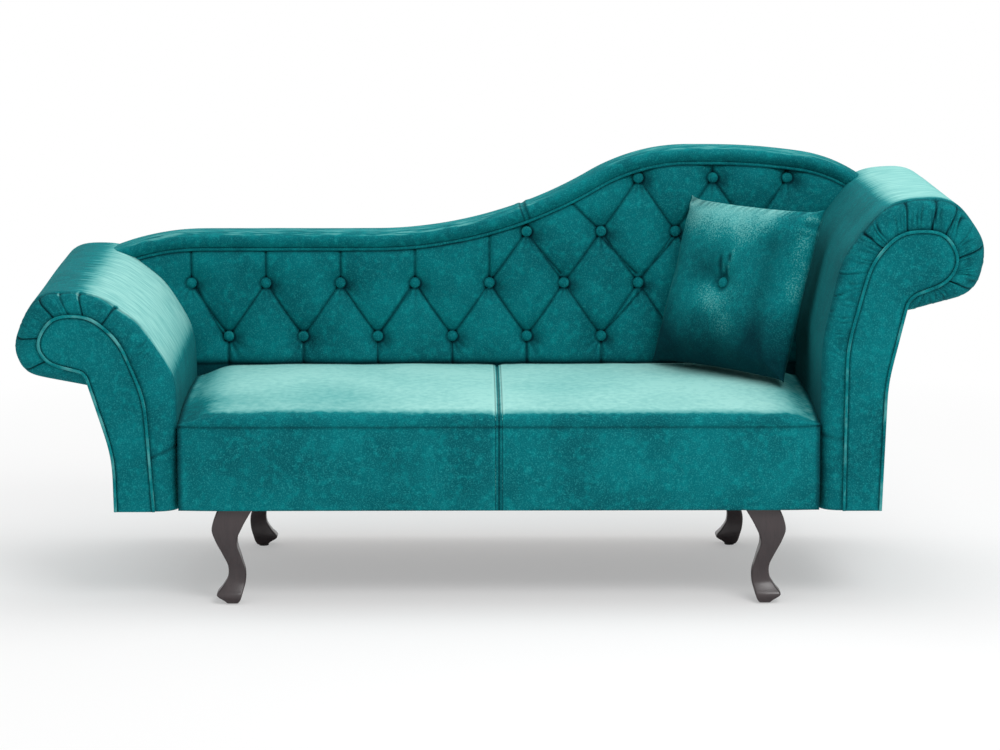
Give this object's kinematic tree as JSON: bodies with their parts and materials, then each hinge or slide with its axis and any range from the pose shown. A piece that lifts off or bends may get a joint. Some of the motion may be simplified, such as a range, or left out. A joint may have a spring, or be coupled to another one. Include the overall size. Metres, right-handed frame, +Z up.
{
  "type": "chaise longue",
  "caption": "Chaise longue with a low and a high scroll arm, a deep-buttoned back that rises in an S, one long seat, cabriole legs and a loose pillow.",
  "frame": {"origin": "on the floor, under the middle of the outer box", "axes": "+X to the right seen from the front, towards the high arm; +Y to the rear; +Z up"},
  "size_m": [1.8197, 0.66, 0.825],
  "materials": {
    "velvet": "cotton velvet, deep teal",
    "piping": "velvet over cord",
    "foam": "cut foam with wadding",
    "webbing": "woven elastic webbing",
    "pad": "pressed felt",
    "dust_cloth": "non-woven cloth",
    "leg_wood": "dark stained, satin lacquer",
    "frame_wood": "sawn softwood and plywood",
    "steel": "zinc plated",
    "card": "upholstery card",
    "plastic": "moulded nylon"
  },
  "bodies": {
    "chaise": {"leg_front_left": "leg_wood", "leg_front_right": "leg_wood", "leg_rear_left": "leg_wood", "leg_rear_right": "leg_wood", "leg_glides": "plastic", "leg_hanger_bolts": "steel", "leg_mount_plates": "steel", "plate_screws": "steel", "arm_bolts": "steel", "back_bolts": "steel", "seat_front_rail": "frame_wood", "seat_rear_rail": "frame_wood", "seat_left_rail": "frame_wood", "seat_right_rail": "frame_wood", "seat_centre_rail": "frame_wood", "seat_corner_blocks": "frame_wood", "back_board": "frame_wood", "back_bottom_rail": "frame_wood", "back_top_rail": "frame_wood", "back_post_1": "frame_wood", "back_post_2": "frame_wood", "back_post_3": "frame_wood", "back_post_4": "frame_wood", "arm_low_front_board": "frame_wood", "arm_low_rear_board": "frame_wood", "arm_low_base_rail": "frame_wood", "arm_low_stretchers": "frame_wood", "arm_low_card_panel": "card", "arm_low_foam": "foam", "arm_low_cover": "velvet", "arm_low_front_facing": "velvet", "arm_low_rear_facing": "velvet", "arm_low_front_piping": "piping", "arm_high_front_board": "frame_wood", "arm_high_rear_board": "frame_wood", "arm_high_base_rail": "frame_wood", "arm_high_stretchers": "frame_wood", "arm_high_card_panel": "card", "arm_high_foam": "foam", "arm_high_cover": "velvet", "arm_high_front_facing": "velvet", "arm_high_rear_facing": "velvet", "arm_high_front_piping": "piping", "seat_cross_webbing": "webbing", "seat_long_webbing": "webbing", "seat_insulator_pad": "pad", "seat_foam": "foam", "back_foam": "foam", "back_roll_foam": "foam", "seat_cover": "velvet", "back_tufted_cover": "velvet", "back_buttons": "velvet", "back_rear_cover": "velvet", "back_roll_cover": "velvet", "dust_cover": "dust_cloth"},
    "pillow": {"pillow_cover": "velvet", "pillow_fill": "foam", "pillow_buttons": "velvet"}
  },
  "joints": [
    {"name": "pillow_lift", "type": "slide", "parent": "chaise", "child": "pillow", "axis": [0, 0, 1], "range_m": [0, 0.35]}
  ]
}
